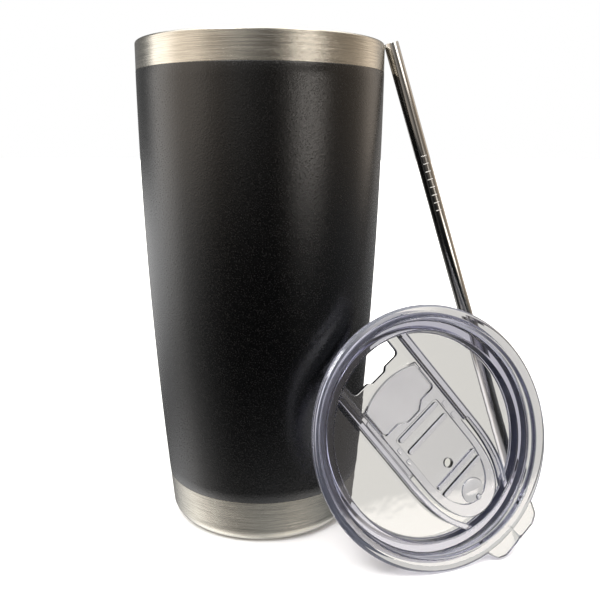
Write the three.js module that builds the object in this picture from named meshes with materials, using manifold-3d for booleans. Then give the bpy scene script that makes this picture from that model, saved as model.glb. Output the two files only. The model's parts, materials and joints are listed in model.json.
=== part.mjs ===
// Insulated tumbler with its slide lid and drinking straw.
//
// Millimetres, +Z up. The origin is the middle of the cup's flat base, so the cup stands on z = 0 with its
// axis on Z. The lid is off the cup: it stands on its edge and leans beside the cup, top side towards -Y,
// with its slider open. The straw stands behind the lid and leans on the cup's rim.
import * as THREE from 'three';
import { mergeVertices } from 'three/addons/utils/BufferGeometryUtils.js';
import Module from 'manifold-3d';

const wasm = await Module();
wasm.setup();

// ---------- driving dimensions ----------
const HEIGHT = 173; // base to lip
const RIM_R = 44; // outside radius at the lip
const BASE_R = 36.1; // outside radius where the coat starts
const BULGE = 1.85; // how far the wall stands out from a straight cone at mid height
const COAT_BOTTOM = 15.9; // the bare steel foot band ends here
const COAT_TOP = 163.3; // the bare steel rim band starts here
const COAT_T = 0.25; // powder coat thickness
const SHEET_T = 0.6; // stainless sheet of the shell and the base pieces
const LINER_T = 0.5; // stainless sheet of the liner
const WALL_T = 4.9; // outside surface to inside surface, with the vacuum between
const FOOT_CORNER_R = 4.6; // rounding between the wall and the base
const MOUTH_R = 41.2; // inside radius of the straight mouth
const NECK_Z = 157; // the straight mouth ends here
const LINER_FLOOR_Z = 11; // inside floor of the cup
const LINER_CORNER_R = 7; // rounding between inside wall and floor
const COVER_R = 29.6; // base cover, a disc set into the foot

const LID_R = 44; // flange outside radius
const FLANGE_T = 3;
const PLUG_BOTTOM = -12.2; // lower edge of the plug, below the flange top
const STEP_R = 39.3; // mouth of the lid's upper step
const LEDGE_Z = -4.4; // flat ledge inside the step
const LEDGE_R = 38.8; // its outer radius
const RECESS_R = 35.1; // the deep recess inside the ledge
const FLOOR_TOP = -8.5; // top of the recess floor
const FLOOR_T = 2;
const PLUG_R = 40.8; // the part of the lid that goes into the cup
const GROOVE_R = 39.2; // bottom of the gasket groove
const GROOVE = [-10.8, -4.6]; // gasket groove, low and high edge
const GASKET_R = 41.5; // gasket lip, a press fit in the mouth
const TAB_REACH = 47.9; // pull tab, from the lid's centre
const TAB_HALF = 12.2; // half its width at the flange
const CHANNEL_HALF = 15.2; // half width between the slide rails
const RAIL_T = 2;
const RAIL_TOP = -5;
const RAIL_LIP = 1.6; // how far a rail's lip overhangs the slider's edge
const DRINK_R = 34.3; // outer edge of the drinking opening, from the lid's centre
const DRINK_X = -26.6; // its inner edge
const DRINK_HALF = 11.2; // half its width
const VENT_X = 13.8; // vent hole in the lid's floor
const VENT_R = 1.6;

const SLIDER_HALF = 13.2; // half width of the slider
const SLIDER_NOSE = -24.6; // its front edge, towards the drinking opening
const SLIDER_TAIL = 34.5; // its round end
const SLIDER_Z = [-7.8, -6]; // underside and top
const TONGUE_HALF = 14.8; // half width over the two side tongues
const TONGUE_X = [-18, 6];
const TONGUE_Z = [-7.8, -6.9];
const RIB_HALF = 9.8; // finger ribs across the slider
const RIB_X = [-5.2, 0, 16.4, 19.6];
const RIB = [1.6, 0.5]; // their width and height
const PAD_NOSE = -23.3; // seal pad in the slider's window
const PAD_BACK = -10.2;
const PAD_HALF = 12.4;
const PAD_Z = [-8.2, -6.2];
const GAP = 0.3; // clearance between pieces that touch

const LID_CENTRE = new THREE.Vector3(57.9, -42.6, 42.65); // centre of the flange top
const LID_AZIMUTH = THREE.MathUtils.degToRad(17.1); // the lid faces this far to +X of -Y
const LID_RISE = THREE.MathUtils.degToRad(17.3); // and this far upwards
const LID_TURN = THREE.MathUtils.degToRad(-54.5); // turn in its own plane: the tab points down to the right

const STRAW_R = 2.6;
const STRAW_WALL = 0.5;
const STRAW_FOOT = new THREE.Vector3(100.4, -6, 0.9);
const STRAW_TOP = new THREE.Vector3(46.55, -1.5, 174.2);

const ROUND = 48; // sides of the big round pieces
const SMALL_ROUND = 16; // sides of the small ones

// ---------- helpers ----------
const degrees = THREE.MathUtils.degToRad;

/** A body turned about Z from points [radius, z], which run up the outside and down the inside. */
function turned(points, sides = ROUND) {
  const profile = points.map(([r, z]) => new THREE.Vector2(r, z));
  const onAxis = points[0][0] === 0 && points.at(-1)[0] === 0;
  if (!onAxis) profile.push(profile[0].clone());
  return new THREE.LatheGeometry(profile, sides).rotateX(Math.PI / 2);
}

/** Points [r, z] along an arc about (r, z), angles in degrees from the outward direction. */
function arc(r, z, radius, from, to, steps) {
  return Array.from({ length: steps + 1 }, (_, i) => {
    const a = degrees(from + ((to - from) * i) / steps);
    return [r + radius * Math.cos(a), z + radius * Math.sin(a)];
  });
}

/** A flat outline raised from z[0] to z[1]. */
function raised(shape, z, curveSegments = 8) {
  const depth = z[1] - z[0];
  return new THREE.ExtrudeGeometry(shape, { depth, bevelEnabled: false, curveSegments }).translate(0, 0, z[0]);
}

function bar(x0, x1, y0, y1, z) {
  return new THREE.BoxGeometry(x1 - x0, y1 - y0, z[1] - z[0])
    .translate((x0 + x1) / 2, (y0 + y1) / 2, (z[0] + z[1]) / 2);
}

function peg(x, y, radius, z, sides = SMALL_ROUND) {
  return new THREE.CylinderGeometry(radius, radius, z[1] - z[0], sides)
    .rotateX(Math.PI / 2).translate(x, y, (z[0] + z[1]) / 2);
}

/** The geometry as a solid that can be joined and cut. */
function solid(geometry) {
  const bare = geometry.clone();
  bare.deleteAttribute('normal');
  bare.deleteAttribute('uv');
  const merged = mergeVertices(bare, 1e-4);
  const vertProperties = new Float32Array(merged.attributes.position.array);
  const triVerts = new Uint32Array(merged.index.array);
  return new wasm.Manifold(new wasm.Mesh({ numProp: 3, vertProperties, triVerts }));
}

function toGeometry(body) {
  const mesh = body.getMesh();
  const geometry = new THREE.BufferGeometry();
  geometry.setAttribute('position', new THREE.BufferAttribute(mesh.vertProperties, 3));
  geometry.setIndex(new THREE.BufferAttribute(mesh.triVerts, 1));
  geometry.computeVertexNormals();
  return geometry;
}

function named(name, geometry, color, roughness, metalness, extra = {}) {
  const mesh = new THREE.Mesh(geometry, new THREE.MeshStandardMaterial({ color, roughness, metalness, ...extra }));
  mesh.name = name;
  return mesh;
}

const steel = (name, geometry) => named(name, geometry, 0xb9b5a8, 0.32, 1);
const clear = (name, geometry) =>
  named(name, geometry, 0xd4d4e2, 0.08, 0, { transparent: true, opacity: 0.4, side: THREE.DoubleSide });

// ---------- cup ----------

/** Outside radius of the cup's wall: a cone with a slight outward bow. */
function wallRadius(z) {
  const t = (z - COAT_BOTTOM) / (HEIGHT - COAT_BOTTOM);
  return BASE_R + (RIM_R - BASE_R) * t + 4 * BULGE * t * (1 - t);
}

/** Heights from low to high at which a wall is given a ring of points. */
function levels(low, high, steps) {
  return Array.from({ length: steps + 1 }, (_, i) => low + ((high - low) * i) / steps);
}

const COAT_STEPS = 4;
const SHELL_TOP = HEIGHT - 1.7; // the shell meets the liner's rolled lip here

function outerShell() {
  const footR = wallRadius(FOOT_CORNER_R) - FOOT_CORNER_R;
  const coated = levels(COAT_BOTTOM, COAT_TOP, COAT_STEPS);
  const inside = [COAT_BOTTOM, ...levels(COAT_BOTTOM, COAT_TOP, COAT_STEPS).slice(1, -1), SHELL_TOP].reverse();
  const insideWall = inside.map((z) => [wallRadius(z) - COAT_T - SHEET_T, z]);
  return steel('outer_shell', turned([
    [COVER_R + GAP, 0.05],
    ...arc(footR, FOOT_CORNER_R + 0.05, FOOT_CORNER_R, -90, 0, 4),
    [wallRadius(COAT_BOTTOM), COAT_BOTTOM],
    ...coated.map((z) => [wallRadius(z) - COAT_T, z]),
    [wallRadius(COAT_TOP), COAT_TOP],
    [RIM_R, SHELL_TOP],
    ...insideWall,
    ...arc(footR - 0.3, FOOT_CORNER_R + 0.05, FOOT_CORNER_R - SHEET_T, 0, -90, 3),
    [COVER_R + GAP, 0.05 + SHEET_T],
  ]));
}

function powderCoat() {
  const ends = 0.1; // the sleeve stops just short of both steps in the shell
  const heights = levels(COAT_BOTTOM, COAT_TOP, COAT_STEPS);
  heights[0] += ends;
  heights[COAT_STEPS] -= ends;
  const skin = 0.05;
  return named('powder_coat', turned([
    ...heights.map((z) => [wallRadius(z) + skin, z]),
    ...heights.toReversed().map((z) => [wallRadius(z) - COAT_T + skin, z]),
  ]), 0x1b1c20, 0.55, 0.1);
}

/** The liner's inside radius below the neck follows the outside wall. */
const bore = (z) => wallRadius(z) - WALL_T;

function innerLiner() {
  const lipZ = HEIGHT - 1.4;
  const low = LINER_FLOOR_Z + LINER_CORNER_R;
  const wall = levels(low, NECK_Z - 7, COAT_STEPS);
  const cornerR = bore(low) - LINER_CORNER_R;
  return steel('inner_liner', turned([
    [0, LINER_FLOOR_Z - LINER_T],
    ...arc(cornerR, low, LINER_CORNER_R + LINER_T, -90, 0, 4),
    ...wall.slice(1).map((z) => [bore(z) + LINER_T, z]),
    [MOUTH_R + LINER_T, NECK_Z],
    [MOUTH_R + LINER_T, lipZ - 0.1],
    [MOUTH_R + 1.2, HEIGHT - SHEET_T],
    [RIM_R - SHEET_T - 0.4, HEIGHT - SHEET_T],
    [RIM_R - SHEET_T, lipZ - 0.2],
    [RIM_R, lipZ - 0.2],
    ...arc(RIM_R - 1.4, lipZ, 1.4, 0, 90, 3),
    ...arc(MOUTH_R + 1.4, lipZ, 1.4, 90, 180, 3),
    [MOUTH_R, NECK_Z],
    ...wall.slice(1).reverse().map((z) => [bore(z), z]),
    ...arc(cornerR, low, LINER_CORNER_R, 0, -90, 4),
    [0, LINER_FLOOR_Z],
  ]));
}

const BASE_Z = 2.6; // underside of the vacuum base
const PUMP_HOLE_R = 1.3; // the hole that the flask is emptied through

/** The shell's own bottom, dished up at its edge and welded to the shell, with the pumping hole. */
function vacuumBase() {
  const edgeZ = 8.5;
  const edgeR = wallRadius(edgeZ) - COAT_T - SHEET_T - GAP;
  return steel('vacuum_base', turned([
    [PUMP_HOLE_R, BASE_Z],
    [27.5, BASE_Z],
    [edgeR - 1.6, BASE_Z + 2.6],
    [edgeR, edgeZ],
    [edgeR - SHEET_T, edgeZ],
    [edgeR - 2.2, BASE_Z + 3.1],
    [27.2, BASE_Z + SHEET_T],
    [PUMP_HOLE_R, BASE_Z + SHEET_T],
  ], ROUND / 2));
}

/** The glass bead that closes the pumping hole from below. */
function sealBead() {
  const stem = PUMP_HOLE_R - GAP;
  return named('seal_bead', turned([
    [0, BASE_Z - 1.3], [1.6, BASE_Z - 1.2], [2.1, BASE_Z - GAP],
    [stem, BASE_Z - GAP], [stem, BASE_Z + SHEET_T + 0.2], [0, BASE_Z + SHEET_T + 0.2],
  ], SMALL_ROUND), 0x4a4038, 0.2, 0);
}

const GETTER_X = 15;
const GETTER_R = 3.6;
const GETTER_H = 1.8;

/** The getter's holder, a small open cup spot-welded to the vacuum base. */
function getterClip() {
  const floor = BASE_Z + SHEET_T + GAP;
  const rim = GETTER_R + GAP;
  const clip = steel('getter_clip', turned([
    [0, floor], [rim + 0.3, floor], [rim + 0.3, floor + GETTER_H + 0.2],
    [rim, floor + GETTER_H + 0.2], [rim, floor + 0.3], [0, floor + 0.3],
  ], SMALL_ROUND));
  clip.position.x = GETTER_X;
  return clip;
}

/** The pellet that takes up stray gas and keeps the vacuum. */
function getter() {
  const floor = BASE_Z + SHEET_T + 2 * GAP + 0.3;
  const pellet = named('getter', turned([
    [0, floor], [GETTER_R, floor], [GETTER_R, floor + GETTER_H - 0.4], [0, floor + GETTER_H - 0.4],
  ], SMALL_ROUND), 0x5c5c60, 0.8, 0.2);
  pellet.position.x = GETTER_X;
  return pellet;
}

/** The disc that hides the vacuum base and that the cup stands on, with a shallow pressed ring. */
function baseCover() {
  const groove = [21, 22.5];
  return steel('base_cover', turned([
    [0, 0], [groove[0], 0], [groove[0] + 0.3, 0.3], [groove[1] - 0.3, 0.3], [groove[1], 0],
    [COVER_R - 0.3, 0], [COVER_R, 0.3], [COVER_R, SHEET_T + 0.2], [0, SHEET_T + 0.2],
  ]));
}

// ---------- lid, in its own frame: origin at the centre of the flange top, +Z out of it, +X to the tab ----------

/** Flange, step, ledge, recess and floor, with the plug's thick wall and its gasket groove outside, all turned. */
function lidRound() {
  const edge = FLANGE_T / 2;
  const underside = FLOOR_TOP - FLOOR_T;
  return turned([
    [0, underside],
    [RECESS_R + 1, underside],
    [RECESS_R + 2, PLUG_BOTTOM],
    [PLUG_R - 1.2, PLUG_BOTTOM],
    [PLUG_R - 0.4, PLUG_BOTTOM + 0.8],
    [PLUG_R - 0.4, GROOVE[0]],
    [GROOVE_R, GROOVE[0]],
    [GROOVE_R, GROOVE[1]],
    [PLUG_R, GROOVE[1]],
    [PLUG_R, -FLANGE_T],
    ...arc(LID_R - edge, -edge, edge, -90, 90, 4),
    [STEP_R + 0.5, 0],
    [STEP_R, -0.5],
    [LEDGE_R, LEDGE_Z],
    [RECESS_R + 0.4, LEDGE_Z],
    [RECESS_R, LEDGE_Z - 0.4],
    [RECESS_R - 0.2, FLOOR_TOP],
    [0, FLOOR_TOP],
  ]);
}

/** The pull tab: a flat ear with bevelled corners. */
function tab() {
  const half = [[TAB_REACH, 7.4], [TAB_REACH - 1.8, 10.3], [42.6, TAB_HALF - 0.4], [41, TAB_HALF]];
  const shape = new THREE.Shape();
  shape.moveTo(41, -TAB_HALF);
  half.toReversed().slice(1).forEach(([x, y]) => shape.lineTo(x, -y));
  half.forEach(([x, y]) => shape.lineTo(x, y));
  return raised(shape, [-2.6, -0.4]);
}

/** Half of the slide channel: a straight rail that bends in round the slider's tail and runs into the wall. */
function rail(z) {
  const bendX = 9;
  const inner = CHANNEL_HALF;
  const outer = CHANNEL_HALF + RAIL_T;
  const shape = new THREE.Shape();
  shape.moveTo(-RECESS_R, inner);
  shape.lineTo(bendX, inner);
  shape.bezierCurveTo(23, inner, 28, 12.2, 31, 10.4);
  shape.lineTo(38.2, 6.6);
  shape.lineTo(38.2, 8.6);
  shape.lineTo(32, 12);
  shape.bezierCurveTo(27, 14.8, 22, outer, bendX, outer);
  shape.lineTo(-RECESS_R, outer);
  return raised(shape, z, 5);
}

/** The drinking opening: an arc along the rim side and a straight edge with a small bump on the other. */
function drinkShape() {
  const bump = 1.2;
  const end = Math.PI - Math.asin(DRINK_HALF / DRINK_R);
  const shape = new THREE.Shape();
  shape.moveTo(DRINK_X, -DRINK_HALF);
  shape.lineTo(DRINK_X, -4.4);
  shape.lineTo(DRINK_X + bump, -3);
  shape.lineTo(DRINK_X + bump, 3);
  shape.lineTo(DRINK_X, 4.4);
  shape.lineTo(DRINK_X, DRINK_HALF);
  shape.absarc(0, 0, DRINK_R, end, 2 * Math.PI - end, false);
  return shape;
}

function lidBody() {
  const wallMiddle = (RECESS_R + GROOVE_R) / 2;
  const through = [FLOOR_TOP - FLOOR_T - 1, FLOOR_TOP + 1];
  const inside = solid(turned([[0, PLUG_BOTTOM], [wallMiddle, PLUG_BOTTOM], [wallMiddle, 0], [0, 0]]));
  const lipZ = [TONGUE_Z[1] + GAP, RAIL_TOP];
  const lip = solid(bar(-RECESS_R, TONGUE_X[1], CHANNEL_HALF - RAIL_LIP, CHANNEL_HALF + 0.5, lipZ));
  const rails = solid(rail([FLOOR_TOP - 1, RAIL_TOP])).add(lip);
  const channel = rails.add(rails.mirror([0, 1, 0])).intersect(inside);
  const ventCut = solid(peg(VENT_X, 0, VENT_R, through, 12));
  const drinkCut = solid(raised(drinkShape(), through));
  const body = solid(lidRound()).add(solid(tab())).add(channel).subtract(drinkCut).subtract(ventCut);
  return clear('lid_body', toGeometry(body));
}

/** The silicone seal in the plug's groove, with two lips. */
function lidGasket() {
  const [low, high] = [GROOVE[0] + GAP, GROOVE[1] - GAP];
  const middle = (low + high) / 2;
  const inner = GROOVE_R + GAP;
  return named('lid_gasket', turned([
    [inner, low], [inner + 0.5, low], [GASKET_R, low + 1.6], [inner + 0.7, middle], [GASKET_R, high - 0.6],
    [inner + 0.5, high], [inner, high],
  ]), 0x3d444f, 0.6, 0);
}

/** Outline of the slider: a bowed nose, straight sides and a round tail. */
function sliderShape() {
  const shape = new THREE.Shape();
  shape.moveTo(-21, -SLIDER_HALF);
  shape.lineTo(12, -SLIDER_HALF);
  shape.bezierCurveTo(26, -SLIDER_HALF, SLIDER_TAIL, -9, SLIDER_TAIL, 0);
  shape.bezierCurveTo(SLIDER_TAIL, 9, 26, SLIDER_HALF, 12, SLIDER_HALF);
  shape.lineTo(-21, SLIDER_HALF);
  shape.quadraticCurveTo(2 * SLIDER_NOSE + 21, 0, -21, -SLIDER_HALF);
  return shape;
}

/** Outline of the seal pad, or with grow of the window that it sits in: bowed in front, with a bump behind. */
function padShape(grow) {
  const half = PAD_HALF + grow;
  const back = PAD_BACK + grow;
  const front = -20.4 - grow;
  const shape = new THREE.Shape();
  shape.moveTo(back, -half);
  shape.lineTo(back, -6);
  shape.lineTo(back + 2.2, -2.8);
  shape.lineTo(back + 2.2, 2.8);
  shape.lineTo(back, 6);
  shape.lineTo(back, half);
  shape.lineTo(front, half);
  shape.quadraticCurveTo(2 * (PAD_NOSE - grow) - front, 0, front, -half);
  return shape;
}

function slider() {
  let body = solid(raised(sliderShape(), SLIDER_Z, 6));
  body = body.add(solid(bar(...TONGUE_X, -TONGUE_HALF, TONGUE_HALF, TONGUE_Z)));
  RIB_X.forEach((x) => {
    const rib = bar(x - RIB[0] / 2, x + RIB[0] / 2, -RIB_HALF, RIB_HALF, [SLIDER_Z[1] - 0.5, SLIDER_Z[1] + RIB[1]]);
    body = body.add(solid(rib));
  });
  body = body.add(solid(peg(SLIDER_TAIL - 4.5, 0, 1.6, [SLIDER_Z[1] - 0.5, SLIDER_Z[1] + 0.7])));
  body = body.subtract(solid(raised(padShape(GAP), [SLIDER_Z[0] - 1, SLIDER_Z[1] + 1], 6)));
  return clear('slider', toGeometry(body));
}

/** The soft pad that closes the drinking opening when the slider is pushed over it. */
function sliderSeal() {
  return named('slider_seal', raised(padShape(0), PAD_Z, 6), 0xa9a9b4, 0.45, 0);
}

// ---------- straw ----------
function straw() {
  const length = STRAW_TOP.distanceTo(STRAW_FOOT);
  const bore = STRAW_R - STRAW_WALL;
  const tube = steel('straw', turned([[STRAW_R, 0], [STRAW_R, length], [bore, length], [bore, 0]], 12));
  const along = STRAW_TOP.clone().sub(STRAW_FOOT).normalize();
  tube.quaternion.setFromUnitVectors(new THREE.Vector3(0, 0, 1), along);
  tube.position.copy(STRAW_FOOT);
  return tube;
}

// ---------- the set ----------
const cup = new THREE.Group();
cup.add(outerShell(), powderCoat(), innerLiner(), vacuumBase(), sealBead(), getterClip(), getter(), baseCover());

const lid = new THREE.Group();
lid.add(lidBody(), lidGasket(), slider(), sliderSeal());
lid.position.copy(LID_CENTRE);
lid.rotation.order = 'ZXY';
lid.rotation.set(Math.PI / 2 - LID_RISE, 0, LID_AZIMUTH);
lid.rotateZ(LID_TURN);

const tumbler = new THREE.Group();
tumbler.add(cup, lid, straw());

export default tumbler;
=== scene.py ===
"""Insulated tumbler, its clear slide lid leaning beside it, and the steel straw behind.

Lengths in this script are millimetres and are turned into metres when a mesh is made. The materials' noise
scales are per metre, and their bump distances are metres.
"""
import json
import math

import bmesh
import bpy
from mathutils import Matrix, Vector


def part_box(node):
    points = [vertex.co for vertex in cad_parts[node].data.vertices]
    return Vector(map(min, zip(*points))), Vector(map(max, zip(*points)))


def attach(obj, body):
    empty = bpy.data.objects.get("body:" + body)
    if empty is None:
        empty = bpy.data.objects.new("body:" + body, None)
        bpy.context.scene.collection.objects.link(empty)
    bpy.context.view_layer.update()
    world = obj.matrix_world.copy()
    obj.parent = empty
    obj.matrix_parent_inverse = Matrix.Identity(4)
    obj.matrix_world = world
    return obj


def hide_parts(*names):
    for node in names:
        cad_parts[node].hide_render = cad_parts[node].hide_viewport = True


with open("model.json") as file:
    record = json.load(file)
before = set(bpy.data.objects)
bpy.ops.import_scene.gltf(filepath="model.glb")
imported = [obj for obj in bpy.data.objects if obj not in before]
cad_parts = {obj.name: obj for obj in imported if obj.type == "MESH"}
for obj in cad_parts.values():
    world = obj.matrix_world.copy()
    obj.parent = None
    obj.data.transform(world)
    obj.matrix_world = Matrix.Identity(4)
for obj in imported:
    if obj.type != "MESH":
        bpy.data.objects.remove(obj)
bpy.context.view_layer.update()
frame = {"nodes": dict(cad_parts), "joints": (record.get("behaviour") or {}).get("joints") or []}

MM = 0.001
QUARTER = math.pi / 2
SIDES = 192  # steps round the cup
LID_SIDES = 240  # steps round the lid
SHARP_ANGLE = 32  # degrees: edges that turn more than this stay sharp
AXES = {joint["name"]: Vector(joint["axis"]).normalized() for joint in frame["joints"]}


# ---------- sizes read from the frame, in millimetres ----------

def box_mm(node):
    low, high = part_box(node)
    return low / MM, high / MM


def ring_radius(node, z):
    """Outside radius of a cup node's ring of vertices nearest to height z."""
    same_ring = 0.05
    points = [v.co / MM for v in frame["nodes"][node].data.vertices]
    nearest = min(abs(p.z - z) for p in points)
    return max(math.hypot(p.x, p.y) for p in points if abs(abs(p.z - z) - nearest) < same_ring)


HEIGHT = box_mm("inner_liner")[1].z
RIM_R = box_mm("inner_liner")[1].x
SHELL_TOP = box_mm("outer_shell")[1].z
COAT_LOW = box_mm("powder_coat")[0].z
COAT_HIGH = box_mm("powder_coat")[1].z
LINER_LOW = box_mm("inner_liner")[0].z
COVER_R = box_mm("base_cover")[1].x
COVER_TOP = box_mm("base_cover")[1].z
WALL_POINTS = [(z, ring_radius("powder_coat", z)) for z in (COAT_LOW, (COAT_LOW + COAT_HIGH) / 2, COAT_HIGH)]

GASKET_DEPTH = 7.7  # the gasket's middle lies this far under the flange top
LID_N = AXES["lid_lift"]
LID_X = -AXES["slider_close"]
LID_Y = LID_N.cross(LID_X)
LID_CENTRE = (sum(box_mm("lid_gasket"), Vector()) / 2) + LID_N * GASKET_DEPTH
STRAW_AXIS = AXES["straw_lift"]
STRAW_MIDDLE = sum(box_mm("straw"), Vector()) / 2
STRAW_R = 2.6
STRAW_BORE = 2.1
STRAW_SPAN = box_mm("straw")[1].z - box_mm("straw")[0].z
STRAW_TILT = math.sqrt(1 - STRAW_AXIS.z ** 2)
STRAW_LENGTH = (STRAW_SPAN - 2 * STRAW_R * STRAW_TILT) / STRAW_AXIS.z


def placed(x_axis, y_axis, z_axis, origin):
    """Matrix that stands a piece made in millimetres round its own origin in its place."""
    turn = Matrix((x_axis, y_axis, z_axis)).transposed().to_4x4()
    return Matrix.Translation(origin * MM) @ turn


LID_PLACE = placed(LID_X, LID_Y, LID_N, LID_CENTRE)
STRAW_SIDE = Vector((0, -1, 0)).cross(STRAW_AXIS).normalized()
STRAW_PLACE = placed(STRAW_SIDE, STRAW_AXIS.cross(STRAW_SIDE), STRAW_AXIS,
                     STRAW_MIDDLE - STRAW_AXIS * STRAW_LENGTH / 2)


# ---------- outlines ----------

def spaced(start, stop, steps):
    """Numbers from start to stop in equal steps, both ends included."""
    return [start + (stop - start) * k / steps for k in range(steps + 1)]


def fillet(corners, steps=4, closed=True):
    """Corners (x, y, radius) joined by straight runs, each corner rounded to its radius.

    A corner without a radius stays sharp, and so do the two ends of an open outline.
    """
    most_of_run = 0.49
    count = len(corners)
    points = []
    for i, corner in enumerate(corners):
        here = Vector(corner[:2])
        radius = corner[2] if len(corner) > 2 else 0
        at_end = not closed and i in (0, count - 1)
        if radius <= 0 or at_end:
            points.append(tuple(here))
            continue
        back = Vector(corners[i - 1][:2]) - here
        ahead = Vector(corners[(i + 1) % count][:2]) - here
        half = back.angle(ahead) / 2
        reach = min(radius / math.tan(half), back.length * most_of_run, ahead.length * most_of_run)
        radius = reach * math.tan(half)
        middle = here + (back.normalized() + ahead.normalized()).normalized() * (radius / math.sin(half))
        start = here + back.normalized() * reach - middle
        stop = here + ahead.normalized() * reach - middle
        for angle in spaced(0, -start.angle_signed(stop), steps):
            spoke = Vector((start.x * math.cos(angle) - start.y * math.sin(angle),
                            start.x * math.sin(angle) + start.y * math.cos(angle)))
            points.append(tuple(middle + spoke))
    return points


def bezier(p0, p1, p2, p3, steps):
    """Points on the cubic curve from p0 to p3 with handles p1 and p2."""
    points = []
    for t in spaced(0, 1, steps):
        s = 1 - t
        points.append(tuple(Vector(p0) * s ** 3 + Vector(p1) * 3 * s * s * t
                            + Vector(p2) * 3 * s * t * t + Vector(p3) * t ** 3))
    return points


def inset(outline, distance):
    """A closed outline, counter-clockwise, moved inwards by a small distance (outwards if negative)."""
    sharpest = 0.5
    count = len(outline)
    moved = []
    for i in range(count):
        before = Vector(outline[i]) - Vector(outline[i - 1])
        after = Vector(outline[(i + 1) % count]) - Vector(outline[i])
        n1 = Vector((-before.y, before.x)).normalized()
        n2 = Vector((-after.y, after.x)).normalized()
        normal = (n1 + n2).normalized()
        stretch = 1 / max(normal.dot(n1), sharpest)
        moved.append(tuple(Vector(outline[i]) + normal * distance * stretch))
    return moved


# ---------- mesh helpers ----------

def make_object(name, verts, faces, sharp_angle=SHARP_ANGLE):
    mesh = bpy.data.meshes.new(name)
    mesh.from_pydata([Vector(v) * MM for v in verts], [], faces)
    mesh.validate()
    obj = bpy.data.objects.new(name, mesh)
    bpy.context.scene.collection.objects.link(obj)
    finish_mesh(obj, sharp_angle)
    return obj


def finish_mesh(obj, sharp_angle=SHARP_ANGLE):
    """Outward faces, smooth shading that breaks at sharp edges."""
    bm = bmesh.new()
    bm.from_mesh(obj.data)
    bmesh.ops.recalc_face_normals(bm, faces=bm.faces)
    bm.to_mesh(obj.data)
    bm.free()
    obj.data.shade_smooth()
    obj.data.set_sharp_from_angle(angle=math.radians(sharp_angle))


def weighted(obj):
    """Large flat faces keep their flat look next to their rounded edges."""
    modifier = obj.modifiers.new("weighted", "WEIGHTED_NORMAL")
    modifier.keep_sharp = True
    return obj


def lathe(name, profile, sides=SIDES, sharp_angle=SHARP_ANGLE):
    """A body turned about Z. The profile closes on itself, or starts and ends on the axis."""
    verts, rings = [], []
    for r, z in profile:
        turns = spaced(0, 2 * math.pi, sides)[:-1] if r > 0 else [0]
        rings.append(range(len(verts), len(verts) + len(turns)))
        verts += [(r * math.cos(a), r * math.sin(a), z) for a in turns]
    on_axis = len(rings[0]) == 1
    faces = []
    for low, high in zip(rings, rings[1:] if on_axis else rings[1:] + rings[:1]):
        for k in range(sides):
            n = (k + 1) % sides
            if len(low) == 1:
                faces.append((low[0], high[n], high[k]))
            elif len(high) == 1:
                faces.append((low[k], low[n], high[0]))
            else:
                faces.append((low[k], low[n], high[n], high[k]))
    return make_object(name, verts, faces, sharp_angle)


def loft(name, layers):
    """Outlines with the same number of points at rising heights, closed by flat caps."""
    count = len(layers[0][0])
    verts = [(x, y, z) for outline, z in layers for x, y in outline]
    faces = [tuple(range(count))[::-1], tuple(range((len(layers) - 1) * count, len(layers) * count))]
    for layer in range(len(layers) - 1):
        low = layer * count
        for k in range(count):
            n = (k + 1) % count
            faces.append((low + k, low + n, low + count + n, low + count + k))
    return make_object(name, verts, faces)


def rounded_layers(outline, low, high, under, edge):
    """Layers from low to high whose two edges round in, or flare out where their radius is negative."""
    turns = spaced(0, QUARTER, 4)
    layers = [(inset(outline, under * (1 - math.sin(a))), low + abs(under) * (1 - math.cos(a)))
              for a in turns]
    layers += [(inset(outline, edge * (1 - math.cos(a))), high - abs(edge) * (1 - math.sin(a)))
               for a in turns]
    return layers


def plate(name, outline, low, high, edge, under_edge=None):
    """A flat plate whose upper and lower edges are rounded."""
    under = edge if under_edge is None else under_edge
    return loft(name, rounded_layers(outline, low, high, under, edge))


def flared_cutter(name, outline, low, high, flare):
    """A cutter that leaves rounded rims where it passes the faces at low and high."""
    reach = 3
    mouth = inset(outline, -flare)
    layers = rounded_layers(outline, low, high, -flare, -flare)
    return loft(name, [(mouth, low - reach)] + layers + [(mouth, high + reach)])


def sweep(name, path, section):
    """A section (offset, z) carried along a path in the XY plane. Offsets are to the path's left."""
    verts = []
    last = len(path) - 1
    for i, point in enumerate(path):
        along = Vector(path[min(i + 1, last)]) - Vector(path[max(i - 1, 0)])
        left = Vector((-along.y, along.x)).normalized()
        for offset, z in section:
            verts.append((point[0] + left.x * offset, point[1] + left.y * offset, z))
    count = len(section)
    faces = [tuple(range(count)), tuple(range(last * count, (last + 1) * count))[::-1]]
    for i in range(last):
        low = i * count
        for k in range(count):
            n = (k + 1) % count
            faces.append((low + k, low + count + k, low + count + n, low + n))
    return make_object(name, verts, faces)


def ellipsoid(name, centre, radii, rings, sides):
    """A closed egg shape, used for small domes and pips."""
    turns = spaced(-QUARTER, QUARTER, rings)
    profile = [(0, -1)] + [(math.cos(a), math.sin(a)) for a in turns[1:-1]] + [(0, 1)]
    shape = lathe(name, profile, sides)
    for v in shape.data.vertices:
        v.co = [c * MM + unit * radius for c, unit, radius in zip(centre, v.co, radii)]
    return shape


def mirrored(obj, name):
    """A copy on the other side of the XZ plane."""
    twin = bpy.data.objects.new(name, obj.data.copy())
    bpy.context.scene.collection.objects.link(twin)
    twin.data.transform(Matrix.Scale(-1, 4, (0, 1, 0)))
    twin.data.flip_normals()
    return twin


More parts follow.
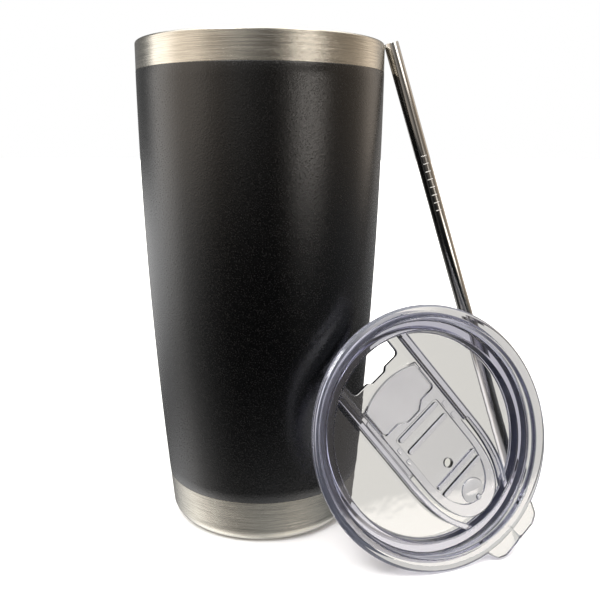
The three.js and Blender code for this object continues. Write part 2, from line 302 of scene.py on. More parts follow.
def combine(base, others, operation):
    """Joins the others to the base, or cuts them out of it, and removes them."""
    for other in others:
        modifier = base.modifiers.new("combine", "BOOLEAN")
        modifier.operation = operation
        modifier.solver = "EXACT"
        modifier.object = other
    graph = bpy.context.evaluated_depsgraph_get()
    mesh = bpy.data.meshes.new_from_object(base.evaluated_get(graph))
    base.modifiers.clear()
    base.data = mesh
    for other in others:
        bpy.data.objects.remove(other)
    finish_mesh(base)


# ---------- materials ----------

class Nodes:
    """A small builder for a node tree."""

    def __init__(self, tree):
        self.tree = tree

    def add(self, kind, inputs=None, **settings):
        node = self.tree.nodes.new(kind)
        for key, value in settings.items():
            setattr(node, key, value)
        for key, value in (inputs or {}).items():
            self.put(node, key, value)
        return node

    def put(self, node, key, value):
        """Sets an input, or links it where value is an output socket."""
        socket = node.inputs[key]
        if isinstance(value, bpy.types.NodeSocket):
            self.tree.links.new(value, socket)
        else:
            socket.default_value = value

    def calc(self, operation, *values):
        return self.add("ShaderNodeMath", dict(enumerate(values)), operation=operation).outputs[0]

    def mix(self, factor, a, b, blend="MIX"):
        """Mixes two colours. Inputs 6 and 7 and output 2 are the node's colour sockets."""
        node = self.add("ShaderNodeMix", data_type="RGBA", blend_type=blend)
        for key, value in ((0, factor), (6, a), (7, b)):
            self.put(node, key, value)
        return node.outputs[2]

    def product(self, a, b):
        return self.mix(1.0, a, b, "MULTIPLY")

    def light(self, color, strength):
        return self.add("ShaderNodeBackground", {"Color": color, "Strength": strength}).outputs[0]

    def place(self, scale=(1, 1, 1)):
        """The piece's own coordinates, squeezed by scale."""
        coords = self.add("ShaderNodeTexCoord").outputs["Object"]
        return self.add("ShaderNodeMapping", {"Vector": coords, "Scale": scale}).outputs["Vector"]

    def noise(self, vector, scale, detail=3.0, rough=0.55):
        inputs = {"Vector": vector, "Scale": scale, "Detail": detail, "Roughness": rough}
        return self.add("ShaderNodeTexNoise", inputs).outputs["Fac"]

    def ramp(self, value, stops, interpolation="LINEAR"):
        node = self.add("ShaderNodeValToRGB", {"Fac": value})
        node.color_ramp.interpolation = interpolation
        while len(node.color_ramp.elements) < len(stops):
            node.color_ramp.elements.new(0.5)
        for element, (at, color) in zip(node.color_ramp.elements, stops):
            element.position = at
            element.color = (*color, 1)
        return node.outputs["Color"]

    def mottle(self, noise, dark, light):
        """Colour that drifts between two tones."""
        return self.ramp(noise, [(0.3, dark), (0.7, light)])

    def spread(self, value, low, high):
        """Maps 0..1 to low..high."""
        inputs = {"Value": value, "To Min": low, "To Max": high}
        return self.add("ShaderNodeMapRange", inputs).outputs["Result"]

    def bump(self, height, distance, under=None):
        """Raised surface detail, laid on another bump where under is given."""
        inputs = {"Height": height, "Distance": distance, "Strength": 1.0}
        if under is not None:
            inputs["Normal"] = under
        return self.add("ShaderNodeBump", inputs).outputs["Normal"]


class Surface(Nodes):
    """A material's tree, with its shader at hand."""

    def __init__(self, name):
        self.material = bpy.data.materials.new(name)
        self.material.use_nodes = True
        super().__init__(self.material.node_tree)
        self.shader = self.tree.nodes["Principled BSDF"]
        self.output = self.tree.nodes["Material Output"]

    def set(self, **values):
        for key, value in values.items():
            self.put(self.shader, key.replace("_", " "), value)


def grey(value, warm=0.0):
    """A neutral brightness, warmer or cooler by a share."""
    return (value * (1 + warm), value, value * (1 - warm))


def shaded(color, share):
    return [c * share for c in color]


STEEL_TINT = (0.51, 0.485, 0.425)
SHEET_TINT = (0.5, 0.49, 0.46)
CLEAR_TINT = (0.28, 0.28, 0.62)


def brushed_steel(name, rough):
    """Stainless steel brushed round the axis: fine lines that run level, and faint stains."""
    m = Surface(name)
    lines = m.noise(m.place((1, 1, 60)), scale=60, detail=4, rough=0.7)
    fine = m.noise(m.place((1, 1, 90)), scale=170, detail=2, rough=0.6)
    stains = m.noise(m.place((1, 1, 2)), scale=35)
    streaks = m.ramp(lines, [(0.34, shaded(STEEL_TINT, 0.8)), (0.66, shaded(STEEL_TINT, 1.22))])
    ring = m.add("ShaderNodeTangent", direction_type="RADIAL", axis="Z").outputs["Tangent"]
    m.set(Base_Color=m.product(streaks, m.mottle(stains, grey(0.93), grey(1.0))), Metallic=1.0,
          Roughness=m.spread(lines, rough * 0.8, rough * 1.25), Anisotropic=0.88, Anisotropic_Rotation=0.25,
          Tangent=ring, Normal=m.bump(fine, 0.00002, under=m.bump(lines, 0.00004)))
    return m.material


def powder_coat():
    """Matte black powder coat: orange peel half a millimetre across, and a finer grain that sparkles."""
    m = Surface("black_coat")
    place = m.place()
    peel = m.noise(place, scale=1700, rough=0.6)
    grain = m.noise(place, scale=2300, detail=1, rough=0.5)
    specks = m.ramp(grain, [(0.5, (0.0004, 0.0005, 0.0007)), (0.75, (0.0035, 0.0033, 0.003))])
    m.set(Base_Color=specks, Roughness=m.spread(grain, 0.1, 0.38), Specular_IOR_Level=0.65,
          Normal=m.bump(grain, 0.00004, under=m.bump(peel, 0.00005)))
    return m.material


def clear_plastic():
    """Clear moulded plastic. Its tint gathers in the thick parts, and its faces are very slightly wavy."""
    m = Surface("clear_plastic")
    wave = m.noise(m.place(), scale=120, detail=2)
    m.set(Base_Color=(1, 1, 1, 1), Roughness=0.02, IOR=1.55, Transmission_Weight=1.0,
          Normal=m.bump(wave, 0.00004))
    inside = m.add("ShaderNodeVolumeAbsorption", {"Color": (*CLEAR_TINT, 1), "Density": 85.0})
    m.tree.links.new(inside.outputs["Volume"], m.output.inputs["Volume"])
    return m.material


def seal_pad():
    """Soft translucent grey pad with a fine matte texture."""
    m = Surface("seal_pad")
    place = m.place()
    grain = m.noise(place, scale=1500)
    tone = m.mottle(m.noise(place, scale=60, detail=2), (0.5, 0.5, 0.52), (0.57, 0.57, 0.59))
    m.set(Base_Color=tone, Roughness=m.spread(grain, 0.38, 0.5), IOR=1.42, Transmission_Weight=0.6,
          Normal=m.bump(grain, 0.00001))
    return m.material


def dark_silicone():
    """Dark slate rubber with a fine matte texture."""
    m = Surface("dark_silicone")
    place = m.place()
    grain = m.noise(place, scale=1200)
    tone = m.mottle(m.noise(place, scale=90, detail=2), (0.085, 0.095, 0.118), (0.105, 0.116, 0.142))
    m.set(Base_Color=tone, Roughness=m.spread(grain, 0.4, 0.55), Normal=m.bump(grain, 0.00001))
    return m.material


def straw_steel():
    """Drawn stainless tube, almost polished, with fine lines along its length."""
    m = Surface("straw_steel")
    coords = m.add("ShaderNodeTexCoord").outputs["Object"]
    along = m.add("ShaderNodeMapping",
                  {"Vector": coords, "Rotation": STRAW_PLACE.to_euler(), "Scale": (1, 1, 20)},
                  vector_type="TEXTURE").outputs["Vector"]
    lines = m.noise(along, scale=1800)
    smears = m.noise(along, scale=120)
    m.set(Base_Color=m.mottle(smears, (0.42, 0.41, 0.39), (0.5, 0.48, 0.45)), Metallic=1.0,
          Roughness=m.spread(smears, 0.1, 0.2), Normal=m.bump(lines, 0.000003))
    return m.material


def mottled(name, color, rough, metallic):
    """A slightly mottled finish, for the cup's hidden pieces and the straw's marks."""
    m = Surface(name)
    place = m.place()
    m.set(Base_Color=m.mottle(m.noise(place, scale=200), shaded(color, 0.85), color), Metallic=metallic,
          Roughness=rough, Normal=m.bump(m.noise(place, scale=900, detail=2), 0.00001))
    return m.material


BAND_STEEL = brushed_steel("brushed_steel", rough=0.22)
LINER_STEEL = brushed_steel("liner_steel", rough=0.24)
COAT = powder_coat()
CLEAR = clear_plastic()
PAD = seal_pad()
SILICONE = dark_silicone()
STRAW_STEEL = straw_steel()
ETCHED = mottled("etched_marks", (0.62, 0.6, 0.57), rough=0.5, metallic=0.0)
HIDDEN = {
    "vacuum_base": mottled("sheet_steel", SHEET_TINT, rough=0.35, metallic=1.0),
    "getter_clip": mottled("clip_steel", SHEET_TINT, rough=0.4, metallic=1.0),
    "getter": mottled("getter_metal", (0.1, 0.1, 0.105), rough=0.8, metallic=0.6),
    "seal_bead": mottled("glass_bead", (0.16, 0.12, 0.08), rough=0.15, metallic=0.0),
}


def coat_with(mesh, material):
    mesh.materials.clear()
    mesh.materials.append(material)


def give(obj, material, body, node, place=None):
    """Puts a piece in its place, gives it its material and its body, and hides the CAD node it replaces."""
    if place is not None:
        obj.data.transform(place)
    coat_with(obj.data, material)
    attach(obj, body)
    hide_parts(node)
    return obj


# ---------- cup ----------

COAT_PROUD = 0.05  # the coat stands this far out from the bare bands
COAT_T = 0.25
COAT_EDGE = 0.12  # rounding of the coat's two edges
SHEET_T = 0.6
LINER_T = 0.5
WALL_T = 4.9  # from the coat's surface to the inside
FOOT_R = 4.6  # rounding of the shell's foot
FOOT_GAP = 0.05  # between the shell's foot and the table
COVER_GAP = 0.3  # between the shell's foot and the base cover
UNDER_COAT = 0.1  # the shell is thinned this far past the coat's edges
MOUTH_R = 41.2  # the straight mouth that takes the lid's plug
MOUTH_LOW = 157
NECK_LOW = 150  # the inside wall bends out into the mouth from here
LINER_CORNER = 7
LIP_GAP = 0.02  # between the rolled lip and the shell's top edge
LIP_T = 0.6
RING_IN = 20.8  # the ring pressed into the base cover
RING_OUT = 22.7
RING_DEPTH = 0.35
RING_SLOPE = 0.4
STEPS_UP = 40


def wall(z):
    """Outside radius of the coat at height z: the smooth curve through three of its rings."""
    total = 0
    for i, (zi, ri) in enumerate(WALL_POINTS):
        term = ri
        for j, (zj, _) in enumerate(WALL_POINTS):
            if j != i:
                term *= (z - zj) / (zi - zj)
        total += term
    return total


def outer_shell():
    """Steel sheet, bare at the rim and the foot and thinned under the coat, with a rounded foot."""
    middle = wall(FOOT_R) - COAT_PROUD - FOOT_R
    centre_z = FOOT_R + FOOT_GAP
    inner = FOOT_R - SHEET_T
    low_edge, high_edge = COAT_LOW - UNDER_COAT, COAT_HIGH + UNDER_COAT
    profile = [(COVER_R + COVER_GAP, FOOT_GAP)]
    profile += [(middle + FOOT_R * math.cos(a), centre_z + FOOT_R * math.sin(a))
                for a in spaced(-QUARTER, 0, 12)[:-1]]
    profile += [(wall(z) - COAT_PROUD, z) for z in spaced(centre_z, low_edge, 8)]
    profile += [(wall(z) - COAT_PROUD - COAT_T, z) for z in spaced(low_edge, high_edge, STEPS_UP)]
    profile += [(min(wall(z) - COAT_PROUD, RIM_R), z) for z in spaced(high_edge, SHELL_TOP, 6)]
    profile += [(wall(z) - COAT_T - SHEET_T - COAT_PROUD, z) for z in spaced(SHELL_TOP, FOOT_R, STEPS_UP)]
    profile += [(middle - COVER_GAP + inner * math.cos(a), centre_z + inner * math.sin(a))
                for a in spaced(0, -QUARTER, 6)[1:]]
    profile += [(COVER_R + COVER_GAP, FOOT_GAP + SHEET_T)]
    give(lathe("shell", profile), BAND_STEEL, "cup", "outer_shell")


def coat_edge(z, up):
    """Rounded edge of the coat at height z, from its end face to its side, which lies up (1) or down (-1)."""
    return [(wall(z) - COAT_EDGE * back, z + up * COAT_EDGE * along)
            for back, along in ((1, 0), (0.3, 0.3), (0, 1))]


def coat_sleeve():
    """The coat, with rounded edges where it meets the bare steel."""
    levels = spaced(COAT_LOW, COAT_HIGH, STEPS_UP)
    side = [(wall(z), z) for z in levels[1:-1]]
    inner = [(wall(z) - COAT_T, z) for z in reversed(levels)]
    profile = coat_edge(COAT_LOW, 1) + side + coat_edge(COAT_HIGH, -1)[::-1] + inner
    give(lathe("coat", profile, sharp_angle=60), COAT, "cup", "powder_coat")


def liner():
    """Inside wall, with the rolled lip that is drunk from."""
    low = LINER_LOW + LINER_T + LINER_CORNER
    base = wall(low) - WALL_T - LINER_CORNER
    outer_corner = LINER_CORNER + LINER_T
    turns = spaced(0, QUARTER, 10)
    lip_low = SHELL_TOP + LIP_GAP
    neck = bezier((wall(NECK_LOW) - WALL_T, NECK_LOW), (wall(NECK_LOW + 2) - WALL_T, NECK_LOW + 3),
                  (MOUTH_R, MOUTH_LOW - 3), (MOUTH_R, MOUTH_LOW), 8)
    profile = [(0, LINER_LOW)]
    profile += [(base + outer_corner * math.sin(a), low - outer_corner * math.cos(a)) for a in turns]
    profile += [(wall(z) - WALL_T + LINER_T, z) for z in spaced(low, NECK_LOW, STEPS_UP)[1:]]
    profile += [(r + LINER_T, z) for r, z in neck[1:]]
    profile += fillet([(MOUTH_R + LINER_T, lip_low - 0.2), (MOUTH_R + LINER_T, HEIGHT - LIP_T, 0.6),
                       (RIM_R - LIP_T, HEIGHT - LIP_T, 0.6), (RIM_R - LIP_T, lip_low)], closed=False)
    profile += fillet([(RIM_R, lip_low), (RIM_R, HEIGHT, 1.35), (MOUTH_R, HEIGHT, 1.4), (MOUTH_R, MOUTH_LOW)],
                      10, closed=False)
    profile += neck[-2::-1]
    profile += [(wall(z) - WALL_T, z) for z in spaced(NECK_LOW, low, STEPS_UP)[1:]]
    profile += [(base + LINER_CORNER * math.sin(a), low - LINER_CORNER * math.cos(a))
                for a in reversed(turns)]
    profile += [(0, LINER_LOW + LINER_T)]
    give(lathe("liner", profile), LINER_STEEL, "cup", "inner_liner")


def base_cover():
    """Disc that the cup stands on, with a shallow pressed ring."""
    corners = [(0, 0), (RING_IN, 0, 0.4), (RING_IN + RING_SLOPE, RING_DEPTH, 0.2),
               (RING_OUT - RING_SLOPE, RING_DEPTH, 0.2), (RING_OUT, 0, 0.4),
               (COVER_R, 0, 0.35), (COVER_R, COVER_TOP, 0.1), (0, COVER_TOP)]
    disc = lathe("base_disc", fillet(corners, closed=False))
    give(disc, BAND_STEEL, "cup", "base_cover")


# ---------- lid, in its own frame: flange top at z = 0, +X to the tab ----------

LID_R = 44
FLANGE_T = 3
FLOOR_TOP = -8.5
FLOOR_LOW = -10.5
PLUG_BOTTOM = -12.2
STEP_R = 39.3
LEDGE_Z = -4.4
LEDGE_R = 38.8
RECESS_R = 35.1
PLUG_R = 40.8
PLUG_END_R = PLUG_R - 0.4  # the plug below the gasket
GROOVE_R = 39.2
GROOVE_LOW = -10.8
GROOVE_HIGH = -4.6
GASKET_R = 41.5
GASKET_BAND_R = GROOVE_R + 0.8
GASKET_WAIST_R = GROOVE_R + 1.1
GASKET_GAP = 0.2  # between the gasket and the groove's two sides
GRIP = 0.03  # the stretched gasket presses this far into the plug, so no air is left between them
CHANNEL = 15.2  # half the clear width between the rails
RAIL_T = 2
RAIL_TOP = -5
RAIL_START = -33.2
RAIL_BEND = 9  # the rails run straight up to here
RAIL_NARROW = (31, 10.4)  # the bend ends here
RAIL_END = (35, 8.3)
LIP_SPAN = (-32.8, 6)  # the stretch of rail that has a lip over the slider
LIP_LOW = -6.6
LIP_REACH = 1.6
LIP_ROOT = 0.9
DRINK_R = 34.3
DRINK_X = -26.6
DRINK_HALF = 11.2
DRINK_CORNER = 1.6
VENT_X = 13.8
VENT_R = 1.6
TAB_HALF = [(40.6, 12.2), (42.8, 11.9, 1.5), (46.3, 10.4, 1.4), (47.9, 7.4, 2.0)]  # half of the tab's outline
TAB_LOW = -2.6
TAB_TOP = -0.35
DIP_NEAR = 41.6
DIP_FAR = 49.5


def lid_round():
    """Flange, step, ledge, recess and floor, with the plug's thick wall and gasket groove outside."""
    corners = [
        (0, FLOOR_LOW), (RECESS_R + 1, FLOOR_LOW, 0.6), (RECESS_R + 2, PLUG_BOTTOM, 0.6),
        (PLUG_R - 0.8, PLUG_BOTTOM, 0.5), (PLUG_END_R, PLUG_BOTTOM + 1.2, 0.4), (PLUG_END_R, GROOVE_LOW, 0.2),
        (GROOVE_R, GROOVE_LOW, 0.15), (GROOVE_R, GROOVE_HIGH, 0.15), (PLUG_R, GROOVE_HIGH, 0.2),
        (PLUG_R, -FLANGE_T, 0.6), (LID_R - 0.1, -FLANGE_T, 1.3), (LID_R, -0.9, 0.6),
        (LID_R - 0.9, -0.25, 0.6), (LID_R - 2.2, 0, 0.6), (STEP_R + 0.2, 0, 0.7), (LEDGE_R, LEDGE_Z, 0.5),
        (RECESS_R, LEDGE_Z, 0.7), (RECESS_R - 0.2, FLOOR_TOP, 0.6), (0, FLOOR_TOP),
    ]
    return lathe("lid_clear", fillet(corners, 6, closed=False), LID_SIDES)


def rail_path():
    """Inner edge of the rail on the +Y side, from the wall by the drinking opening to the wall by the tab."""
    straight = [(x, CHANNEL) for x in spaced(RAIL_START, RAIL_BEND, 12)[:-1]]
    bend = bezier((RAIL_BEND, CHANNEL), (23, CHANNEL), (28, 12.2), RAIL_NARROW, 16)
    run_in = list(zip(*(spaced(a, b, 3)[1:] for a, b in zip(RAIL_NARROW, RAIL_END))))
    return straight + bend + run_in


def rails():
    """Both rails of the slide channel, with the lips that hold the slider down."""
    root = FLOOR_TOP - 1
    wall_section = fillet([(0, root), (RAIL_T, root), (RAIL_T, RAIL_TOP, 0.5), (0, RAIL_TOP, 0.4)])
    lip_top = RAIL_TOP - 0.1
    lip_section = fillet([(-LIP_REACH, LIP_LOW, 0.3), (LIP_ROOT, LIP_LOW), (LIP_ROOT, lip_top),
                          (-LIP_REACH, lip_top, 0.6)])
    rail = sweep("rail", rail_path(), wall_section)
    lip = sweep("lip", [(x, CHANNEL) for x in spaced(*LIP_SPAN, 10)], lip_section)
    return [rail, lip, mirrored(rail, "rail_b"), mirrored(lip, "lip_b")]


def bulged_edge(x, half, corner, foot, crest, bulge, bend):
    """Corners of an edge along Y at x, from -half to half, whose middle bulges towards +X."""
    return [(x, -half, corner), (x, -foot, bend), (x + bulge, -crest, bend),
            (x + bulge, crest, bend), (x, foot, bend), (x, half, corner)]


def drink_outline():
    """The drinking opening: an arc along the recess wall, and a bulged edge towards the lid's middle."""
    half_angle = math.asin(DRINK_HALF / DRINK_R)
    arc = [(-DRINK_R * math.cos(a), DRINK_R * math.sin(a)) for a in spaced(half_angle, -half_angle, 24)]
    corner_x = arc[0][0]
    inner = bulged_edge(DRINK_X, DRINK_HALF, DRINK_CORNER, foot=4.4, crest=3, bulge=1.2, bend=1.2)
    outer = [(corner_x, DRINK_HALF, DRINK_CORNER)] + arc[1:-1] + [(corner_x, -DRINK_HALF, DRINK_CORNER)]
    return fillet(inner + outer)


def circle(x, y, radius, sides=32):
    return [(x + radius * math.cos(a), y + radius * math.sin(a)) for a in spaced(0, 2 * math.pi, sides)[:-1]]


def tab():
    """Pull tab: an ear with rounded corners."""
    corners = [(x, -y, *radius) for x, y, *radius in TAB_HALF] + TAB_HALF[::-1]
    return plate("tab", fillet(corners, 5), TAB_LOW, TAB_TOP, 0.5)


def tab_dip():
    """Cutter for the tab's three-cornered dip: a shallow wedge that opens towards the tab's outer edge."""
    top, near_half, far_half, near_depth, far_depth = 1.0, 1.2, 8.6, -0.3, -1.25
    verts = [(DIP_NEAR, -near_half, top), (DIP_NEAR, near_half, top), (DIP_FAR, far_half, top),
             (DIP_FAR, -far_half, top), (DIP_NEAR, 0, near_depth), (DIP_FAR, 0, far_depth)]
    faces = [(0, 1, 2, 3), (0, 4, 1), (1, 4, 5, 2), (3, 5, 4, 0), (2, 5, 3)]
    return make_object("dip", verts, faces)


def lid_body():
    body = lid_round()
    combine(body, rails() + [tab()], "UNION")
    drink = flared_cutter("drink", drink_outline(), FLOOR_LOW, FLOOR_TOP, 0.35)
    vent = flared_cutter("vent", circle(VENT_X, 0, VENT_R), FLOOR_LOW, FLOOR_TOP, 0.25)
    combine(body, [drink, vent, tab_dip()], "DIFFERENCE")
    give(weighted(body), CLEAR, "lid", "lid_body", place=LID_PLACE)


def gasket():
    """Two soft lips round a band that sits in the plug's groove."""
    inner = GROOVE_R - GRIP
    low, high = GROOVE_LOW + GASKET_GAP, GROOVE_HIGH - GASKET_GAP
    corners = [(inner, low, 0.1), (GASKET_BAND_R, low, 0.2), (GASKET_R, low + 1.6, 0.25),
               (GASKET_WAIST_R, (low + high) / 2, 0.3), (GASKET_R, high - 0.7, 0.25),
               (GASKET_BAND_R, high, 0.2), (inner, high, 0.1)]
    ring = lathe("gasket", fillet(corners), LID_SIDES)
    give(ring, SILICONE, "lid", "lid_gasket", place=LID_PLACE)


# ---------- slider, in the lid's frame ----------

SLIDER_LOW = -7.8
SLIDER_TOP = -6
SLIDER_HALF = 13.2
SLIDER_BEND = 12  # the slider's and the pocket's sides are straight up to here
SLIDER_TAIL = 34.5
NOSE_X = -21
NOSE_PULL = -23.4  # handle of the nose's curve
TONGUE_SPAN = (-18, 6)
TONGUE_HALF = 14.8
TONGUE_T = 0.9
POCKET_FLOOR = -6.8
POCKET_HALF = 10.6
POCKET_TAIL = 29.8
RIB_X = (-5.2, 0, 16.4, 19.6)
RIB_HALF = 9.8
RIB_WIDTH = 1.7
CLIP_X = (-4, 1)
CLIP_Y = {"a": 10.9, "b": -12.5}
CLIP_LONG = 2
CLIP_WIDE = 1.6
PAD_LOW = -8.2
PAD_TOP = -6.2
PAD_BACK = -10.2
PAD_FRONT = -20.4
PAD_PULL = -24.3  # handle of the pad's front curve
PAD_HALF = 12.4
WINDOW_GAP = 0.3  # between the pad and its window


def rectangle(x0, y0, x1, y1, corner, steps=4):
    return fillet([(x0, y0, corner), (x1, y0, corner), (x1, y1, corner), (x0, y1, corner)], steps)


def tail_curve(half, pull, tail, tail_pull, steps):
    """Round tail, from its straight side at -Y to the one at +Y. pull and tail_pull are its handles."""
    low = bezier((SLIDER_BEND, -half), (pull, -half), (tail, -tail_pull), (tail, 0), steps)
    return low + [(x, -y) for x, y in low[-2::-1]]


def slider_outline():
    nose = bezier((NOSE_X, SLIDER_HALF), (NOSE_PULL, 6), (NOSE_PULL, -6), (NOSE_X, -SLIDER_HALF), 16)
    return nose + tail_curve(SLIDER_HALF, 26, SLIDER_TAIL, 9, 16)


def pocket_outline():
    """The sunk middle of the slider, from behind the seal pad to the round tail."""
    front = PAD_BACK + 3.4
    return fillet([(front, POCKET_HALF, 1.2), (front, -POCKET_HALF, 1.2)]
                  + tail_curve(POCKET_HALF, 22, POCKET_TAIL, 7, 14))


def pad_outline(grow=0.0):
    """The pad behind the slider's nose: its back edge bulges towards the lid's middle."""
    half = PAD_HALF + grow
    front, pull = PAD_FRONT - grow, PAD_PULL - grow
    behind = bulged_edge(PAD_BACK + grow, half, corner=1.4, foot=6, crest=2.8, bulge=2.2, bend=1.4)
    return fillet(behind + bezier((front, half), (pull, 5), (pull, -5), (front, -half), 14))


def capsule(x, half, width):
    """Outline of a bar across the slider with round ends."""
    r = width / 2
    upper = [(x + r * math.cos(a), half - r + r * math.sin(a)) for a in spaced(0, math.pi, 10)]
    return upper + [(2 * x - px, -py) for px, py in upper]


def slider_details():
    """Finger ribs, the flat boss and its pip by the tail, and four small clips beside the ribs."""
    details = [plate(f"rib_{i}", capsule(x, RIB_HALF, RIB_WIDTH), POCKET_FLOOR - 0.4, SLIDER_TOP + 0.5, 0.4,
                     under_edge=0.05) for i, x in enumerate(RIB_X)]
    details += [ellipsoid("boss", (SLIDER_TAIL - 8.2, 0, POCKET_FLOOR), (4.2, 4.6, 0.7), 12, 40),
                ellipsoid("pip", (SLIDER_TAIL - 5.2, 0, SLIDER_TOP - 0.2), (1.1, 1.1, 0.6), 10, 24)]
    for side, y in CLIP_Y.items():
        for x in CLIP_X:
            outline = rectangle(x, y, x + CLIP_LONG, y + CLIP_WIDE, 0.3, 3)
            details.append(plate(f"clip_{side}_{x}", outline, SLIDER_TOP - 0.5, SLIDER_TOP + 0.35, 0.3))
    return details


def slider():
    """Flat slide with two side tongues under the rails' lips, a window for the pad and a sunk middle."""
    body = plate("slide", slider_outline(), SLIDER_LOW, SLIDER_TOP, 0.4)
    start, end = TONGUE_SPAN
    tongues = plate("tongues", rectangle(start, -TONGUE_HALF, end, TONGUE_HALF, 1),
                    SLIDER_LOW, SLIDER_LOW + TONGUE_T, 0.25)
    combine(body, [tongues], "UNION")
    window = flared_cutter("window", pad_outline(WINDOW_GAP), SLIDER_LOW, SLIDER_TOP, 0.2)
    pocket = plate("pocket", pocket_outline(), POCKET_FLOOR, SLIDER_TOP + 2, 0.3)
    combine(body, [window, pocket], "DIFFERENCE")
    combine(body, slider_details(), "UNION")
    give(weighted(body), CLEAR, "slider", "slider", place=LID_PLACE)


def slider_seal():
    pad = plate("pad", pad_outline(), PAD_LOW, PAD_TOP, 0.35)
    give(weighted(pad), PAD, "slider", "slider_seal", place=LID_PLACE)


# ---------- straw, standing on its own end ----------

STRAW_SIDES = 72
STRAW_EDGE = 0.22  # rounding of the tube's ends
TICKS = 8
TICK_FROM = 119
TICK_PITCH = 2.95
TICK_WIDTH = 0.3
TICK_DEPTH = 0.05
TICK_WALL = 0.01  # the ticks' side walls take this much of the length
TICK_ARC = (70, 116)  # degrees round the tube: the ticks lie on its front
TICK_LEVELS = [TICK_FROM + TICK_PITCH * k for k in range(TICKS)]


def on_tick(point):
    """Whether a point of the tube belongs to the floor of a tick."""
    outside = math.hypot(point.x, point.y) > (STRAW_R + STRAW_BORE) / 2
    in_arc = TICK_ARC[0] < math.degrees(math.atan2(point.y, point.x)) < TICK_ARC[1]
    return outside and in_arc and any(0 < point.z - z - TICK_WALL / 2 < TICK_WIDTH for z in TICK_LEVELS)


def straw():
    """Drawn tube with softened ends and a row of short engraved ticks."""
    end = [(STRAW_R - STRAW_EDGE, 0), (STRAW_R - STRAW_EDGE * 0.3, STRAW_EDGE * 0.3), (STRAW_R, STRAW_EDGE)]
    profile = list(end)
    for z in TICK_LEVELS:
        profile += [(STRAW_R, z + up) for up in (0, TICK_WALL, TICK_WIDTH, TICK_WIDTH + TICK_WALL)]
    profile += [(r, STRAW_LENGTH - z) for r, z in reversed(end)]
    profile += [(STRAW_BORE, STRAW_LENGTH), (STRAW_BORE, 0)]
    tube = lathe("straw_tube", profile, STRAW_SIDES)
    engraved = {v.index for v in tube.data.vertices if on_tick(v.co / MM)}
    for i in engraved:
        tube.data.vertices[i].co.xy *= 1 - TICK_DEPTH / STRAW_R
    finish_mesh(tube, sharp_angle=50)
    give(tube, STRAW_STEEL, "straw", "straw", place=STRAW_PLACE)
    tube.data.materials.append(ETCHED)
    for face in tube.data.polygons:
        if engraved.issuperset(face.vertices):
            face.material_index = 1


# ---------- studio ----------

def floor():
    half_size = 6
    mesh = bpy.data.meshes.new("floor")
    mesh.from_pydata([(x * half_size, y * half_size, 0) for x, y in ((-1, -1), (1, -1), (1, 1), (-1, 1))],
                     [], [(0, 1, 2, 3)])
    plane = bpy.data.objects.new("floor", mesh)
    bpy.context.scene.collection.objects.link(plane)
    m = Surface("pale_floor")
    m.set(Base_Color=m.mottle(m.noise(m.place(), scale=3, detail=2), grey(0.9), grey(0.92)), Roughness=0.9)
    plane.data.materials.append(m.material)
    plane.visible_glossy = False
    plane.visible_transmission = False
    plane.location.z = -0.1 * MM


# Light by bearing: 0 is towards the camera, and bearings grow towards +X.
WALLS_HIGH = [
    (-165, grey(0.08)), (-130, grey(0.08)), (-119, grey(0.2)), (-109, grey(0.85, 0.04)),
    (-94, grey(0.8, 0.08)), (-76, grey(0.5, 0.14)), (-55, grey(0.5, 0.12)), (-44, grey(0.22, 0.16)),
    (-20, grey(0.17, 0.06)), (-6, grey(0.09, 0.06)), (14, grey(0.035, 0.12)), (33, grey(0.26, 0.1)),
    (41, grey(0.28, 0.08)), (50, grey(0.08, 0.1)), (64, grey(0.12, 0.2)), (76, grey(0.12, 0.2)),
    (96, grey(0.16, 0.2)), (120, grey(0.45, 0.16)), (142, grey(0.16, 0.06)), (170, grey(0.1)),
]
WALLS_LOW = [
    (-165, grey(0.2)), (-138, grey(0.5)), (-116, grey(0.75)), (-98, grey(0.8, 0.02)), (-74, grey(0.3, 0.02)),
    (-52, grey(0.08)), (-30, grey(0.008, -0.08)), (0, grey(0.003, -0.18)), (25, grey(0.006, -0.18)),
    (50, grey(0.03, -0.14)), (90, grey(0.08, -0.06)), (130, grey(0.13)), (170, grey(0.12)),
]
PANEL = [(26, grey(0)), (38, grey(0.9, 0.06)), (51, grey(0.9, 0.08)), (62, grey(0))]
LAMP = [(-58, grey(0)), (-50, grey(1)), (-22, grey(1)), (-14, grey(0))]
TABLE = [
    (-165, grey(0.3)), (-120, grey(0.5)), (-80, grey(0.75, 0.03)), (-40, grey(0.5, 0.03)), (-10, grey(0.5)),
    (20, grey(0.65)), (60, grey(0.95, 0.05)), (100, grey(0.7)), (165, grey(0.3)),
]
BEIGE = (0.46, 0.45, 0.4)
BEYOND = [
    (-178, BEIGE), (-166, BEIGE), (-146, grey(0.12, -0.12)), (-100, grey(0.25, -0.06)), (-62, grey(0.8)),
    (-44, grey(0.8)), (-20, grey(0.4)), (44, grey(0.4)), (70, grey(0.8)), (96, grey(0.22, -0.06)),
    (130, grey(0.09, -0.12)), (148, BEIGE), (178, BEIGE),
]

# Light by elevation in degrees.
RISE = [(-8, 0), (-1, 1)]
WALL_HEIGHTS = [(-36, 0.75), (-23, 0.22), (-13, 0.8), (-9, 1), (25, 1), (45, 0.35)]
PANEL_HEIGHTS = [(-4, 0), (-1, 1), (2.5, 1), (4, 0), (24, 0), (32, 0.8), (50, 0.8), (60, 0)]
LAMP_HEIGHTS = [(44, 0), (48, 1), (60, 1), (64, 0)]
TABLE_HEIGHTS = [(-50, 1), (-37, 0)]
TOP_HEIGHTS = [(30, 0), (60, 1)]
BEYOND_HEIGHTS = [(-75, 0.7), (-60, 0.5), (-47, 0.25), (-37, 1), (-7, 1), (5, 0.16), (24, 0.25), (32, 1),
                  (50, 1), (70, 0.2)]


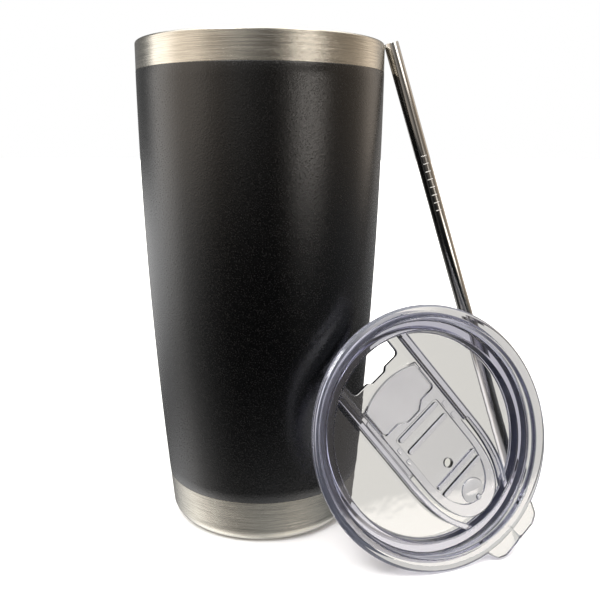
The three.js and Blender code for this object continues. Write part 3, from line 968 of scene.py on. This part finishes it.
class Sky(Nodes):
    """The world's tree, with brightness by bearing and by elevation."""

    def __init__(self, world):
        world.use_nodes = True
        world.node_tree.nodes.clear()
        super().__init__(world.node_tree)
        direction = self.add("ShaderNodeTexCoord").outputs["Generated"]
        x, y, z = self.add("ShaderNodeSeparateXYZ", {0: direction}).outputs
        bearing = self.calc("ARCTAN2", x, self.calc("MULTIPLY", y, -1.0))
        self.turn = self.calc("MULTIPLY_ADD", bearing, 0.5 / math.pi, 0.5)
        self.height = self.calc("MULTIPLY_ADD", z, 0.5, 0.5)

    def by_bearing(self, stops):
        return self.ramp(self.turn, [(degrees / 360 + 0.5, color) for degrees, color in stops], "EASE")

    def by_height(self, stops):
        places = [(0.5 + 0.5 * math.sin(math.radians(degrees)), grey(value)) for degrees, value in stops]
        return self.ramp(self.height, places, "EASE")

    def patch(self, bearings, heights, strength):
        return self.light(self.product(self.by_bearing(bearings), self.by_height(heights)), strength)


def studio_light():
    """A soft studio round the object: pale walls, a panel, a lamp, a pale table below and a broad top light.

    The camera itself sees plain white, and clear plastic shows a beige wall with darker stretches beside it.
    Matte surfaces seen through the plastic are still lit by the studio.
    """
    world = bpy.data.worlds.new("studio")
    bpy.context.scene.world = world
    sky = Sky(world)
    walls = sky.mix(sky.by_height(RISE), sky.by_bearing(WALLS_LOW), sky.by_bearing(WALLS_HIGH))
    studio = sky.light(sky.product(walls, sky.by_height(WALL_HEIGHTS)), strength=2.7)
    parts = [sky.patch(TABLE, TABLE_HEIGHTS, strength=1.6), sky.patch(PANEL, PANEL_HEIGHTS, strength=6.0),
             sky.patch(LAMP, LAMP_HEIGHTS, strength=12.0),
             sky.light(sky.by_height(TOP_HEIGHTS), strength=3.0)]
    for part in parts:
        studio = sky.add("ShaderNodeAddShader", {0: studio, 1: part}).outputs[0]
    beyond = sky.patch(BEYOND, BEYOND_HEIGHTS, strength=1.75)
    ray = sky.add("ShaderNodeLightPath").outputs
    no_bounce = sky.calc("LESS_THAN", ray["Diffuse Depth"], 0.5)
    seen_through = sky.calc("MULTIPLY", ray["Is Transmission Ray"], no_bounce)
    lit = sky.add("ShaderNodeMixShader", {0: seen_through, 1: studio, 2: beyond}).outputs[0]
    white = sky.light((1, 1, 1, 1), strength=1.0)
    seen = sky.add("ShaderNodeMixShader", {0: ray["Is Camera Ray"], 1: lit, 2: white}).outputs[0]
    sky.add("ShaderNodeOutputWorld", {"Surface": seen})


def camera():
    """Close, level with the upper part of the cup, looking ten degrees down and three to the right."""
    data = bpy.data.cameras.new("camera")
    data.lens = 42.93
    data.shift_y = -0.0453
    data.clip_start = 10 * MM
    yaw, pitch, roll = 0.0536, 0.1787, 0.0032
    turn = (Matrix.Rotation(-yaw, 4, "Z") @ Matrix.Rotation(QUARTER - pitch, 4, "X")
            @ Matrix.Rotation(roll, 4, "Z"))
    obj = bpy.data.objects.new("camera", data)
    obj.location = (0, -266 * MM, 138.7 * MM)
    obj.rotation_euler = turn.to_euler()
    bpy.context.scene.collection.objects.link(obj)
    bpy.context.scene.camera = obj


for build in (outer_shell, coat_sleeve, liner, base_cover, lid_body, gasket, slider, slider_seal, straw):
    build()
for node, finish in HIDDEN.items():
    coat_with(frame["nodes"][node].data, finish)
floor()
studio_light()
camera()
bpy.context.scene.view_settings.view_transform = "Standard"
bpy.context.scene.view_settings.look = "None"
